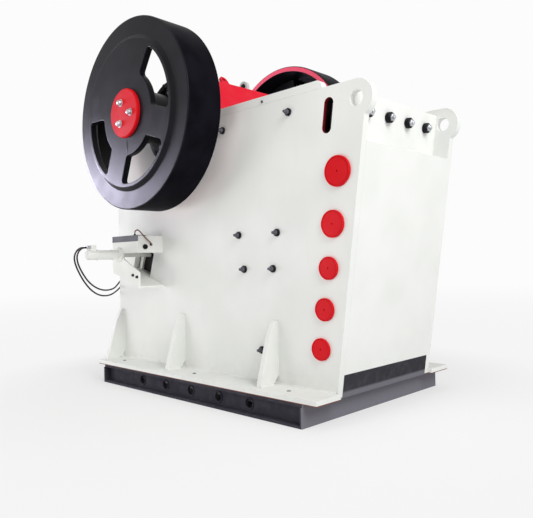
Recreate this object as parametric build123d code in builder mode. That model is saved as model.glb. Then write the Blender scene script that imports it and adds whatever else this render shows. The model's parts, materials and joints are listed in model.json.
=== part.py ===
from build123d import *

import os
from math import asin, atan, atan2, cos, hypot, pi, radians, sin, tan

os.makedirs("parts", exist_ok=True)

# Single-toggle jaw crusher, in millimetres. +X is the front, -Y the right-hand side, +Z up.
# The origin is on the floor, in the middle of the foundation bolts.

# Side plates and front outline
side_plate_t = 60.0
side_plate_rear = -1480.0
side_plate_top = 2452.0
rear_shoulder_x = -1050.0
rear_shoulder_z = 2080.0
front_toe_x = 1382.0
front_lean_deg = 8.14
lug_x = 1630.0
lug_r = 137.0
lug_hole_r = 56.0
slot_length = 262.0
slot_width = 84.0
slot_setback = 330.0
slot_z = 2240.0

# Base frame, foot flanges and gussets
base_height = 170.0
base_lip = 12.0
base_front = 1318.0
base_rear = -1330.0
base_flange_t = 20.0
base_web_t = 16.0
base_flange_width = 300.0
base_web_inset = 62.0
base_hole_r = 38.0
base_hole_pitch = 364.0
base_holes = 5
base_end_t = 20.0
foundation_bolt_r = 20.0
foundation_x = 1150.0
foundation_edge = 162.0
foot_t = 42.0
foot_reach = 280.0
foot_rear = -1450.0
foot_front = 1443.0
gusset_t = 45.0
gusset_height = 500.0
gusset_top_reach = 28.0
gusset_foot_reach = 205.0
gusset_notch = 55.0
gusset_knee_height = 390.0
gusset_knee_reach = 86.0
gusset_x = (-1425.0, -395.0, 800.0)

# Shaft, flywheels and bearings
shaft_x = -440.0
shaft_z = 2508.0
journal_r = 130.0
crank_r = 165.0
throw = 16.0
throw_angle_deg = -60.0
running_gap = 0.3
wheel_r = 842.0
wheel_width = 343.0
wheel_to_plate = 170.0
wheel_chamfer = 8.0
wheel_draft = 12.0
rim_face_width = 162.0
rim_back_width = 57.0
rim_web_t = 80.0
web_raise = 28.0
web_edge_slope = 35.0
web_edge_width = 32.0
wheel_web_t = 58.0
wheel_hub_r = 238.0
wheel_hub_gap = 17.0
wheel_seat_r = 118.0
hub_ring_width = 132.0
window_corner_r = 34.0
spoke_angles_deg = (-18.5, -112.0)
spoke_width = 258.0
solid_span_deg = (56.0, 178.0)
counterweight_inset_deg = 34.0
counterweight_t = 95.0
counterweight_gap = 20.0
hub_cap_r = 214.0
hub_cap_t = 30.0
hub_cap_chamfer = 9.0
hub_cap_gap = 4.0
shaft_proud = 6.0
housing_r = 325.0
housing_flange_r = 400.0
housing_flange_t = 45.0
housing_cover_r = 285.0
housing_neck_r = 205.0
housing_reach = 172.0
housing_cover_t = 40.0
housing_neck_chamfer = 11.0
housing_shoulder_gap = 4.0
shoulder_gap = 27.0
shaft_shoulder = 8.0

# Crushing chamber
feed_half_width = 550.0
cheek_t = 40.0
cheek_top_drop = 20.0
cheek_split_gap = 4.0
cheek_back = 40.0
jaw_t = 110.0
jaw_tooth_depth = 42.0
jaw_tooth_pitch = 90.0
tooth_root_share = 0.05
tooth_tip_share = 0.32
jaw_side_gap = 10.0
fixed_jaw_top = (1140.0, 2400.0)
fixed_jaw_bottom = (790.0, 400.0)
moving_jaw_top = (190.0, 2430.0)
moving_jaw_bottom = (590.0, 420.0)
front_frame_bottom = 340.0
front_ledge_z = 2016.0
front_ledge_drop = 52.0
front_recess = 150.0
front_frame_top = 2398.0
front_plate_t = 60.0
front_rib_t = 34.0
front_bays = 5
wedge_height = 150.0
wedge_chamfer = 25.0
wedge_gap = 2.0
cheek_split_z = 1270.0
sill_t = 20.0
cross_width = 110.0

# Pitman
barrel_r = 370.0
pitman_side_gap = 15.0
pitman_front_t = 85.0
pitman_foot_t = 136.0
pitman_below_jaw = 20.0
pitman_neck_z = 2000.0
pitman_rib_t = 55.0
pitman_ribs = 4
rib_knee_drop = 700.0
rib_knee_reach = 55.0
pitman_lug_x = -385.0
pitman_lug_y = 215.0
pitman_lug_r = 58.0
pitman_lug_hole_r = 23.0
pitman_lug_t = 36.0
pitman_lug_height = 134.0
pitman_lug_flare = 18.0
barrel_sink = 37.0
barrel_front_rise = 111.0
rib_start_deg = 205.0
guard_t = 25.0
guard_length = 630.0
guard_eye_y = -150.0
guard_eye_r = 45.0
guard_eye_hole_r = 22.0
guard_eye_rise = 50.0

# Toggle, wedges and rear frame, along the toggle's axis
toggle_rear = (-617.0, 1080.5)
toggle_drop_deg = 18.0
toggle_length = 806.0
toggle_t = 84.0
toggle_end_r = 58.0
toggle_side_gap = 15.0
toggle_open_gap = 24.0
seat_t = 55.0
seat_lip_t = 40.0
seat_lip_depth = 50.0
seat_block_depth = 60.0
beam_depth = 370.0
beam_height = 330.0
beam_wedge_gap = 16.0
wedge_depth = 210.0
wedge_thin_share = 0.32
wedge_side_gap = 22.0
rear_beam_depth = 280.0
rear_beam_height = 520.0
rear_beam_wall = 45.0
rear_beam_rib_t = 28.0
window_length = 300.0
window_height = 245.0
window_lead = 32.0
window_clearance = 7.5

# Wedge cylinders, outside the windows
cylinder_lift = 60.0
cylinder_r = 45.0
rod_r = 22.0
cylinder_reach = 625.0
cylinder_flange_r = 72.0
cylinder_flange_t = 22.0
cylinder_head = 40.0
cylinder_chamfer = 6.0
bracket_reach = 280.0
bracket_top_z = 1404.0
bracket_top_t = 48.0
bracket_rear_x = -1140.0
bracket_front_x = -690.0
bracket_wall = 18.0
bracket_foot = 150.0
bracket_slot_reach = 65.0
bracket_slot_above = 13.0
bracket_slot_below = 35.0
port_width = 88.0
port_length = 48.0
port_height = 62.0
port_setback = 27.0
port_sink = 14.0

# Hydraulic hoses on the right-hand side, from the cylinder's ports round the plate's rear edge
hose_r = 8.0
manifold_along = 150.0
manifold_width = 120.0
manifold_depth = 90.0
manifold_height = 110.0
manifold_inset = 20.0
lower_hose_route = (
    (-1052, -1248, 1350),
    (-1052, -1293, 1350),
    (-1053, -1338, 1340),
    (-1056, -1371, 1307),
    (-1061, -1386, 1259),
    (-1074, -1370, 1195),
    (-1114, -1306, 1100),
    (-1170, -1218, 1005),
    (-1240, -1108, 925),
    (-1318, -985, 876),
    (-1398, -858, 862),
    (-1478, -745, 872),
    (-1545, -648, 902),
    (-1582, -565, 952),
    (-1572, -503, 1018),
    (-1530, -485, 1080),
    (-1491, -485, 1132),
    (-1469, -485, 1199.4),
)
upper_hose_route = (
    (-1008, -1248, 1350),
    (-1008, -1293, 1350),
    (-1009, -1337, 1340),
    (-1012, -1369, 1307),
    (-1018, -1382, 1258),
    (-1034, -1362, 1192),
    (-1078, -1294, 1105),
    (-1135, -1206, 1024),
    (-1210, -1095, 965),
    (-1290, -968, 928),
    (-1368, -845, 922),
    (-1440, -742, 935),
    (-1508, -668, 962),
    (-1555, -602, 1000),
    (-1554, -551, 1058),
    (-1523, -531, 1108),
    (-1489, -530, 1138),
    (-1469, -530, 1199.4),
)

# Covers, rails
cap_radii = (114.0, 102.0, 86.0, 86.0, 84.0)
cap_heights = (1822.0, 1445.0, 1123.0, 818.0, 522.0)
cap_setback = 185.0
cap_t = 20.0
cap_screw_r = 6.0
rail_height = 65.0
rail_rear = -10.0
rail_front = 1324.0
rail_round = 55.0

SIDES = (("right", -1), ("left", 1))
plate_in = feed_half_width + cheek_t
plate_out = plate_in + side_plate_t
pitman_half_width = feed_half_width - pitman_side_gap
foot_out = plate_out + foot_reach
base_half_width = foot_out + base_lip
foundation_y = base_half_width - foundation_edge
housing_in = pitman_half_width + shoulder_gap + housing_shoulder_gap
housing_out = plate_out + housing_reach
hub_back = housing_out + wheel_hub_gap
rim_back = plate_out + wheel_to_plate
wheel_face = rim_back + wheel_width
web_face = wheel_face + web_raise
front_of_wedges = toggle_end_r - beam_depth
lug_z = side_plate_top - lug_r
lean = tan(radians(front_lean_deg))
toggle_dir = (cos(radians(toggle_drop_deg)), -sin(radians(toggle_drop_deg)))
crank_x = shaft_x + throw * cos(radians(throw_angle_deg))
crank_z = shaft_z + throw * sin(radians(throw_angle_deg))


def front_x(z):
    """X of the side plates' leaning front edge at a height."""
    return front_toe_x + lean * z


def side_plane(sign, inner, outer):
    """XZ plane from which an extrusion by outer - inner fills that band of one side."""
    return Plane.XZ.offset(-max(sign * inner, sign * outer))


def toggle_plane(half_width):
    """Plane along the toggle: its x runs down to the pitman and its y across the toggle."""
    return Plane(
        origin=(toggle_rear[0], half_width, toggle_rear[1]),
        x_dir=(toggle_dir[0], 0, toggle_dir[1]),
        z_dir=(0, -1, 0),
    )


def on_toggle(along, across=0.0):
    """XZ point at a distance along and across the toggle's axis."""
    return (
        toggle_rear[0] + along * toggle_dir[0] - across * toggle_dir[1],
        toggle_rear[1] + along * toggle_dir[1] + across * toggle_dir[0],
    )


def save(builder, name):
    builder.part.label = name
    export_step(builder.part, f"parts/{name}.step")


# Side plates: one leaning front edge, a lifting lug, a saddle for the bearing,
# a slot by the jaw's wedge and a window where the adjusting wedge comes out
window_x, window_z = on_toggle(front_of_wedges + window_lead - 0.5 * window_length)
for side, sign in SIDES:
    with BuildPart() as side_plate:
        with BuildSketch(side_plane(sign, plate_in, plate_out)):
            with BuildLine():
                Polyline(
                    (side_plate_rear, base_height),
                    (front_x(base_height), base_height),
                    (front_x(lug_z), lug_z),
                    (lug_x, side_plate_top),
                    (rear_shoulder_x, side_plate_top),
                    (side_plate_rear, rear_shoulder_z),
                    close=True,
                )
            make_face()
            with Locations((lug_x, lug_z)):
                Circle(lug_r)
                Circle(lug_hole_r, mode=Mode.SUBTRACT)
            with Locations((shaft_x, shaft_z)):
                Circle(housing_r + running_gap, mode=Mode.SUBTRACT)
            with Locations((front_x(slot_z) - slot_setback, slot_z)):
                SlotOverall(
                    slot_length, slot_width, rotation=90 - front_lean_deg, mode=Mode.SUBTRACT
                )
            with Locations((window_x, window_z)):
                Rectangle(
                    window_length,
                    window_height,
                    rotation=-toggle_drop_deg,
                    mode=Mode.SUBTRACT,
                )
        extrude(amount=side_plate_t)
    save(side_plate, f"side_plate_{side}")

    with BuildPart() as rail:
        with BuildSketch(side_plane(sign, plate_in, plate_out)):
            with BuildLine():
                Polyline(
                    (rail_rear, side_plate_top),
                    (rail_front, side_plate_top),
                    (rail_front, side_plate_top + rail_height),
                    (rail_rear, side_plate_top + rail_height),
                    close=True,
                )
            make_face()
            fillet(vertices().group_by(Axis.X)[-1].sort_by(Axis.Y)[-1], rail_round)
        extrude(amount=side_plate_t)
    save(rail, f"top_rail_{side}")

# Foot flanges with their anchor holes, and the gussets that stand on them
foot_top = base_height + foot_t
for side, sign in SIDES:
    with BuildPart() as foot:
        with BuildSketch(Plane.XY.offset(base_height)):
            with Locations((0.5 * (foot_rear + foot_front), sign * 0.5 * (plate_out + foot_out))):
                Rectangle(foot_front - foot_rear, foot_reach)
        extrude(amount=foot_t)
    save(foot, f"foot_{side}")

    with BuildPart() as gussets:
        for x in gusset_x:
            with BuildSketch(
                Plane(origin=(x - 0.5 * gusset_t, 0, 0), x_dir=(0, sign, 0), z_dir=(sign, 0, 0))
            ):
                with BuildLine():
                    Polyline(
                        (plate_out, foot_top + gusset_notch),
                        (plate_out + gusset_notch, foot_top),
                        (plate_out + gusset_foot_reach, foot_top),
                        (plate_out + gusset_knee_reach, foot_top + gusset_knee_height),
                        (plate_out + gusset_top_reach, foot_top + gusset_height),
                        (plate_out, foot_top + gusset_height),
                        close=True,
                    )
                make_face()
            extrude(amount=sign * gusset_t)
    save(gussets, f"gussets_{side}")

# Base frame: two flanged beams with closed ends and a row of holes in the web, and cross beams
base_in = base_half_width - base_flange_width
for side, sign in SIDES:
    with BuildPart() as base_beam:
        with BuildSketch(
            Plane(origin=(base_rear, 0, 0), x_dir=(0, sign, 0), z_dir=(sign, 0, 0))
        ):
            with BuildLine():
                Polyline(
                    (base_in, 0),
                    (base_half_width, 0),
                    (base_half_width, base_flange_t),
                    (base_half_width - base_web_inset, base_flange_t),
                    (base_half_width - base_web_inset, base_height - base_flange_t),
                    (foot_out, base_height - base_flange_t),
                    (foot_out, base_height),
                    (base_in, base_height),
                    (base_in, base_height - base_flange_t),
                    (base_half_width - base_web_inset - base_web_t, base_height - base_flange_t),
                    (base_half_width - base_web_inset - base_web_t, base_flange_t),
                    (base_in, base_flange_t),
                    close=True,
                )
            make_face()
        extrude(amount=sign * (base_front - base_rear))
        for end_x in (base_rear, base_front - base_end_t):
            with BuildSketch(Plane.XY):
                with Locations((end_x + 0.5 * base_end_t, sign * (base_in + base_half_width) / 2)):
                    Rectangle(base_end_t, base_flange_width)
            extrude(amount=base_height - base_flange_t)
        with BuildSketch(side_plane(sign, base_in, base_half_width)):
            with GridLocations(base_hole_pitch, 1, base_holes, 1):
                with Locations((0, 0.5 * base_height)):
                    Circle(base_hole_r)
        extrude(amount=base_flange_width, mode=Mode.SUBTRACT)
        with BuildSketch(Plane.XY):
            with Locations((-foundation_x, sign * foundation_y), (foundation_x, sign * foundation_y)):
                Circle(foundation_bolt_r)
        extrude(amount=base_flange_t, mode=Mode.SUBTRACT)
    save(base_beam, f"base_beam_{side}")

for name, x in (("base_cross_front", base_front - cross_width), ("base_cross_rear", base_rear)):
    with BuildPart() as cross:
        with BuildSketch(Plane.XZ.offset(-base_in)):
            with BuildLine():
                Polyline(
                    (x, 0),
                    (x + cross_width, 0),
                    (x + cross_width, base_height),
                    (x, base_height),
                    (x, base_height - base_flange_t),
                    (x + cross_width - base_web_t, base_height - base_flange_t),
                    (x + cross_width - base_web_t, base_flange_t),
                    (x, base_flange_t),
                    close=True,
                )
            make_face()
        extrude(amount=2 * base_in)
    save(cross, name)

# Dark sill that closes the front between the side plates, under the front frame
with BuildPart() as front_sill:
    with BuildSketch(Plane.XZ.offset(-plate_in)):
        with BuildLine():
            Polyline(
                (front_x(base_height) - sill_t, base_height),
                (front_x(base_height), base_height),
                (front_x(front_frame_bottom), front_frame_bottom),
                (front_x(front_frame_bottom) - sill_t, front_frame_bottom),
                close=True,
            )
        make_face()
    extrude(amount=2 * plate_in)
save(front_sill, "front_sill")

# Front frame: flush with the side plates below, set back above the ledge, and behind it
# the seat of the fixed jaw
fixed_slope = (fixed_jaw_top[0] - fixed_jaw_bottom[0]) / (fixed_jaw_top[1] - fixed_jaw_bottom[1])
fixed_angle = atan(fixed_slope)


def fixed_seat_x(z):
    """X of the fixed jaw's seat at a height."""
    return fixed_jaw_bottom[0] + fixed_slope * (z - fixed_jaw_bottom[1]) + jaw_t / cos(fixed_angle)


ledge_top_z = front_ledge_z + front_ledge_drop
with BuildPart() as front_frame:
    with BuildSketch(Plane.XZ.offset(-plate_in)):
        with BuildLine():
            Polyline(
                (front_x(front_frame_bottom), front_frame_bottom),
                (front_x(front_ledge_z), front_ledge_z),
                (front_x(ledge_top_z) - front_recess, ledge_top_z),
                (front_x(front_frame_top) - front_recess, front_frame_top),
                (fixed_seat_x(front_frame_top), front_frame_top),
                (fixed_seat_x(front_frame_bottom), front_frame_bottom),
                close=True,
            )
        make_face()
    extrude(amount=2 * plate_in)
    bay_width = (2 * plate_in - (front_bays + 1) * front_rib_t) / front_bays
    for bay in range(front_bays):
        bay_y = -plate_in + front_rib_t + bay * (bay_width + front_rib_t)
        with BuildSketch(Plane.XZ.offset(-bay_y - bay_width)):
            with BuildLine():
                Polyline(
                    (front_x(front_frame_bottom) - front_plate_t, front_frame_bottom),
                    (front_x(front_ledge_z) - front_plate_t, front_ledge_z),
                    (front_x(ledge_top_z) - front_recess - front_plate_t, ledge_top_z),
                    (
                        front_x(front_frame_top) - front_recess - front_plate_t,
                        front_frame_top - front_plate_t,
                    ),
                    (fixed_seat_x(front_frame_top) + front_plate_t, front_frame_top - front_plate_t),
                    (fixed_seat_x(front_frame_bottom) + front_plate_t, front_frame_bottom),
                    close=True,
                )
            make_face()
        extrude(amount=bay_width, mode=Mode.SUBTRACT)
    # The side plates' slot runs on through the ribs
    with BuildSketch(Plane.XZ.offset(-plate_in)):
        with Locations((front_x(slot_z) - slot_setback, slot_z)):
            SlotOverall(slot_length, slot_width, rotation=90 - front_lean_deg)
    extrude(amount=2 * plate_in, mode=Mode.SUBTRACT)
save(front_frame, "front_frame")


def jaw_profile(width):
    """Points of a jaw plate's toothed section: its back on the x axis, its teeth towards +y."""
    root = jaw_t - jaw_tooth_depth
    count = int(width // jaw_tooth_pitch)
    start = -0.5 * count * jaw_tooth_pitch
    points = [(-0.5 * width, 0), (0.5 * width, 0), (0.5 * width, root)]
    for tooth in reversed(range(count)):
        left = start + tooth * jaw_tooth_pitch
        points += [
            (left + (1 - tooth_root_share) * jaw_tooth_pitch, root),
            (left + (1 - tooth_tip_share) * jaw_tooth_pitch, jaw_t),
            (left + tooth_tip_share * jaw_tooth_pitch, jaw_t),
            (left + tooth_root_share * jaw_tooth_pitch, root),
        ]
    points.append((-0.5 * width, root))
    return points


# Jaw plates, each standing on the lower end of its seat
fixed_length = hypot(fixed_jaw_top[0] - fixed_jaw_bottom[0], fixed_jaw_top[1] - fixed_jaw_bottom[1])
jaw_width = 2 * (feed_half_width - jaw_side_gap)
with BuildPart() as fixed_jaw:
    with BuildSketch(
        Plane(
            origin=(fixed_seat_x(fixed_jaw_bottom[1]), 0, fixed_jaw_bottom[1]),
            x_dir=(0, 1, 0),
            z_dir=(sin(fixed_angle), 0, cos(fixed_angle)),
        )
    ):
        with BuildLine():
            Polyline(*jaw_profile(jaw_width), close=True)
        make_face()
    extrude(amount=fixed_length - wedge_height)
save(fixed_jaw, "fixed_jaw_plate")

moving_slope = (moving_jaw_bottom[0] - moving_jaw_top[0]) / (moving_jaw_top[1] - moving_jaw_bottom[1])
moving_angle = atan(moving_slope)
moving_length = hypot(
    moving_jaw_top[0] - moving_jaw_bottom[0], moving_jaw_top[1] - moving_jaw_bottom[1]
)


def moving_seat_x(z):
    """X of the moving jaw's seat at a height."""
    return (
        moving_jaw_bottom[0]
        - moving_slope * (z - moving_jaw_bottom[1])
        - jaw_t / cos(moving_angle)
    )


with BuildPart() as moving_jaw:
    with BuildSketch(
        Plane(
            origin=(moving_seat_x(moving_jaw_bottom[1]), 0, moving_jaw_bottom[1]),
            x_dir=(0, -1, 0),
            z_dir=(-sin(moving_angle), 0, cos(moving_angle)),
        )
    ):
        with BuildLine():
            Polyline(*jaw_profile(jaw_width), close=True)
        make_face()
    extrude(amount=moving_length - wedge_height)
save(moving_jaw, "moving_jaw_plate")

# Wedges that clamp the top of each jaw plate
for name, seat_x, slope_sign, angle, top_z, chamber_edge in (
    ("fixed_jaw_wedge", fixed_seat_x, 1, fixed_angle, fixed_jaw_top[1], 0),
    ("moving_jaw_wedge", moving_seat_x, -1, moving_angle, moving_jaw_top[1], -1),
):
    with BuildPart() as jaw_wedge:
        with BuildSketch(
            Plane(
                origin=(seat_x(top_z), 0, top_z),
                x_dir=(0, slope_sign, 0),
                z_dir=(slope_sign * sin(angle), 0, cos(angle)),
            )
        ):
            with Locations((0, 0.5 * (jaw_t - jaw_tooth_depth))):
                Rectangle(jaw_width, jaw_t - jaw_tooth_depth)
        extrude(amount=wedge_gap - wedge_height)
        top_edges = edges().filter_by(Axis.Y).group_by(Axis.Z)[-1].sort_by(Axis.X)
        chamfer(top_edges[chamber_edge], wedge_chamfer)
    save(jaw_wedge, name)

# Cheek plates that line the chamber, in two heights
for side, sign in SIDES:
    for name, low, high in (
        ("lower", moving_jaw_bottom[1], cheek_split_z),
        ("upper", cheek_split_z + cheek_split_gap, front_frame_top - cheek_top_drop),
    ):
        with BuildPart() as cheek:
            with BuildSketch(side_plane(sign, feed_half_width, plate_in)):
                with BuildLine():
                    Polyline(
                        (moving_seat_x(low) - cheek_back, low),
                        (fixed_seat_x(low), low),
                        (fixed_seat_x(high), high),
                        (moving_seat_x(high) - cheek_back, high),
                        close=True,
                    )
                make_face()
            extrude(amount=cheek_t)
        save(cheek, f"cheek_plate_{name}_{side}")

# Main bearing housings, seated in the side plates' saddles
housing_plane = Plane(origin=(shaft_x, 0, shaft_z), x_dir=(0, 1, 0), z_dir=(1, 0, 0))
shaft_axis = Axis((shaft_x, 0, shaft_z), (0, 1, 0))
bore_r = journal_r + running_gap
for side, sign in SIDES:
    with BuildPart() as housing:
        with BuildSketch(housing_plane):
            with BuildLine():
                Polyline(
                    (sign * housing_in, bore_r),
                    (sign * housing_in, housing_r),
                    (sign * plate_out, housing_r),
                    (sign * plate_out, housing_flange_r),
                    (sign * (plate_out + housing_flange_t), housing_flange_r),
                    (sign * (plate_out + housing_flange_t), housing_r),
                    (sign * (housing_out - housing_cover_t), housing_cover_r),
                    (sign * (housing_out - housing_cover_t), housing_neck_r),
                    (sign * housing_out, housing_neck_r - housing_neck_chamfer),
                    (sign * housing_out, bore_r),
                    close=True,
                )
            make_face()
        revolve(axis=shaft_axis)
    save(housing, f"bearing_housing_{side}")

# Eccentric shaft: main journals, wheel seats and the crank between them
shaft_end = web_face + shaft_proud
with BuildPart() as shaft:
    with BuildSketch(Plane.XZ.offset(-(pitman_half_width + shoulder_gap))):
        with Locations((crank_x, crank_z)):
            Circle(crank_r)
    extrude(amount=2 * (pitman_half_width + shoulder_gap))
    with BuildSketch(housing_plane):
        with BuildLine():
            Polyline(
                (-shaft_end, 0),
                (-shaft_end, wheel_seat_r),
                (-housing_out - shaft_shoulder, wheel_seat_r),
                (-housing_out - shaft_shoulder, journal_r),
                (housing_out + shaft_shoulder, journal_r),
                (housing_out + shaft_shoulder, wheel_seat_r),
                (shaft_end, wheel_seat_r),
                (shaft_end, 0),
                close=True,
            )
        make_face()
    revolve(axis=shaft_axis)
save(shaft, "eccentric_shaft")


def polar(radius, angle_deg):
    return (radius * cos(radians(angle_deg)), radius * sin(radians(angle_deg)))


def wheel_plane(sign, inner, outer):
    """Like side_plane, with its origin on the shaft's axis."""
    return Plane.XZ.shift_origin((shaft_x, 0, shaft_z)).offset(-max(sign * inner, sign * outer))


def fan(start_deg, end_deg):
    """Corners of a wedge from the shaft's axis out past the wheel."""
    middle_deg = 0.5 * (start_deg + end_deg)
    return [(0, 0), *(polar(2 * wheel_r, angle) for angle in (start_deg, middle_deg, end_deg))]


# Flywheels: a wide rim, a web that stands proud of it with windows between straight spokes,
# and a solid part opposite the crank with a counterweight behind
web_back = web_face - wheel_web_t
web_foot_r = wheel_r - rim_face_width
web_edge_r = web_foot_r - web_edge_slope
window_out_r = web_edge_r - web_edge_width
window_in_r = wheel_hub_r + hub_ring_width
rim_in_r = wheel_r - rim_back_width
for side, sign in SIDES:
    with BuildPart() as wheel:
        with BuildSketch(housing_plane):
            with BuildLine():
                Polyline(
                    (sign * rim_back, rim_in_r),
                    (sign * rim_back, wheel_r),
                    (sign * wheel_face, wheel_r),
                    (sign * wheel_face, web_foot_r),
                    (sign * web_face, web_edge_r),
                    (sign * web_face, wheel_seat_r),
                    (sign * hub_back, wheel_seat_r),
                    (sign * hub_back, wheel_hub_r - wheel_draft),
                    (sign * web_back, wheel_hub_r),
                    (sign * web_back, web_edge_r),
                    (sign * (wheel_face - rim_web_t), web_foot_r),
                    (sign * (wheel_face - rim_web_t), rim_in_r - wheel_draft),
                    close=True,
                )
            make_face()
        revolve(axis=shaft_axis)
        chamfer(
            edges().filter_by(GeomType.CIRCLE).filter_by(lambda e: abs(e.radius - wheel_r) < 0.1),
            wheel_chamfer,
        )
        with BuildSketch(wheel_plane(sign, web_back, web_face)):
            Circle(window_out_r)
            Circle(window_in_r, mode=Mode.SUBTRACT)
            for angle in spoke_angles_deg:
                with Locations(Location((*polar(0.5 * wheel_r, angle), 0), angle)):
                    Rectangle(wheel_r, spoke_width, mode=Mode.SUBTRACT)
            with BuildLine():
                Polyline(*fan(*solid_span_deg), close=True)
            make_face(mode=Mode.SUBTRACT)
            fillet(vertices(), window_corner_r)
        extrude(amount=wheel_web_t, mode=Mode.SUBTRACT)
        with BuildSketch(wheel_plane(sign, web_back - counterweight_t, web_back)):
            Circle(rim_in_r - counterweight_gap)
            Circle(window_in_r, mode=Mode.SUBTRACT)
            with BuildLine():
                Polyline(
                    *fan(
                        solid_span_deg[0] + counterweight_inset_deg,
                        solid_span_deg[1] - counterweight_inset_deg,
                    ),
                    close=True,
                )
            make_face(mode=Mode.INTERSECT)
        extrude(amount=counterweight_t)
    save(wheel, f"flywheel_{side}")

    with BuildPart() as hub_cap:
        with BuildSketch(housing_plane):
            with BuildLine():
                Polyline(
                    (sign * web_face, wheel_seat_r + hub_cap_gap),
                    (sign * web_face, hub_cap_r),
                    (sign * (web_face + hub_cap_t - hub_cap_chamfer), hub_cap_r),
                    (sign * (web_face + hub_cap_t), hub_cap_r - hub_cap_chamfer),
                    (sign * (web_face + hub_cap_t), 0),
                    (sign * (shaft_end + running_gap), 0),
                    (sign * (shaft_end + running_gap), wheel_seat_r + hub_cap_gap),
                    close=True,
                )
            make_face()
        revolve(axis=shaft_axis)
    save(hub_cap, f"hub_cap_{side}")

# Toggle seat and pitman. Both are set out from the middle of the circle that the pitman's
# swing draws, so the toggle's end stays clear of them all round
open_r = toggle_end_r + toggle_open_gap
lip_top = open_r + seat_lip_t
seat_back = open_r + seat_t
swing_x = on_toggle(toggle_length - toggle_end_r)[0] + crank_x - shaft_x
swing_z = on_toggle(toggle_length - toggle_end_r)[1] + crank_z - shaft_z


def swing_plane(half_width):
    """Like toggle_plane, with its origin in the middle of the pitman's swing."""
    return toggle_plane(half_width).shift_origin((swing_x, half_width, swing_z))


def on_swing(along, across):
    """XZ point at a distance along and across the toggle's axis from the swing's middle."""
    return (
        swing_x + along * toggle_dir[0] - across * toggle_dir[1],
        swing_z + along * toggle_dir[1] + across * toggle_dir[0],
    )


with BuildPart() as toggle_seat:
    with BuildSketch(swing_plane(pitman_half_width)):
        with BuildLine():
            Polyline(
                (seat_back, -lip_top),
                (seat_back, lip_top),
                (open_r - seat_lip_depth, lip_top),
                (open_r - seat_lip_depth, open_r),
                (open_r, open_r),
                (open_r, -open_r),
                (open_r - seat_lip_depth, -open_r),
                (open_r - seat_lip_depth, -lip_top),
                close=True,
            )
        make_face()
    extrude(amount=2 * pitman_half_width)
save(toggle_seat, "toggle_seat")

# Pitman: a barrel round the crank, ribs down to the toggle seat and a face for the moving jaw
pitman_top_z = moving_jaw_top[1]
pitman_bottom_z = moving_jaw_bottom[1] - pitman_below_jaw
pitman_lug_z = crank_z + barrel_r + pitman_lug_height
lug_foot = pitman_lug_r + pitman_lug_flare
seat_top = on_swing(seat_back, lip_top)
seat_bottom = on_swing(seat_back, -lip_top)
with BuildPart() as pitman:
    with BuildSketch(Plane.XZ.offset(-pitman_half_width)):
        with Locations((crank_x, crank_z)):
            Circle(barrel_r)
    extrude(amount=2 * pitman_half_width)
    with BuildSketch(Plane.XZ.offset(-pitman_half_width)):
        with BuildLine():
            Polyline(
                (moving_seat_x(pitman_top_z), pitman_top_z),
                (moving_seat_x(pitman_bottom_z), pitman_bottom_z),
                (moving_seat_x(pitman_bottom_z) - pitman_foot_t, pitman_bottom_z),
                seat_bottom,
                seat_top,
                (moving_seat_x(seat_top[1]) - pitman_front_t, seat_top[1] + seat_block_depth),
                (moving_seat_x(pitman_neck_z) - pitman_front_t, pitman_neck_z),
                (crank_x, crank_z - barrel_r + barrel_sink),
                (crank_x, crank_z + barrel_front_rise),
                close=True,
            )
        make_face()
    extrude(amount=2 * pitman_half_width)
    rib_pitch = (2 * pitman_half_width - pitman_rib_t) / (pitman_ribs - 1)
    rib_start = polar(barrel_r, rib_start_deg)
    for rib in range(pitman_ribs):
        rib_y = -pitman_half_width + rib * rib_pitch + pitman_rib_t
        with BuildSketch(Plane.XZ.offset(-rib_y)):
            with BuildLine():
                Polyline(
                    (crank_x, crank_z),
                    (crank_x + rib_start[0], crank_z + rib_start[1]),
                    (crank_x + rib_knee_reach, crank_z - rib_knee_drop),
                    on_swing(seat_back - seat_lip_t, lip_top + seat_lip_t),
                    seat_top,
                    seat_bottom,
                    (moving_seat_x(pitman_bottom_z) - pitman_foot_t, pitman_bottom_z),
                    (moving_seat_x(pitman_neck_z), pitman_neck_z),
                    close=True,
                )
            make_face()
        extrude(amount=pitman_rib_t)
    with BuildSketch(Plane.XZ.offset(-pitman_half_width)):
        with Locations((crank_x, crank_z)):
            Circle(crank_r + running_gap)
    extrude(amount=2 * pitman_half_width, mode=Mode.SUBTRACT)
    # Lifting lug on top of the barrel
    with BuildSketch(Plane.XZ.offset(-pitman_lug_y)):
        with BuildLine():
            Polyline(
                (pitman_lug_x - lug_foot, crank_z + barrel_r - barrel_sink),
                (pitman_lug_x + lug_foot, crank_z + barrel_r - barrel_sink),
                (pitman_lug_x + pitman_lug_r, pitman_lug_z),
                (pitman_lug_x - pitman_lug_r, pitman_lug_z),
                close=True,
            )
        make_face()
        with Locations((pitman_lug_x, pitman_lug_z)):
            Circle(pitman_lug_r)
            Circle(pitman_lug_hole_r, mode=Mode.SUBTRACT)
    extrude(amount=pitman_lug_t)
save(pitman, "pitman")

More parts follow.
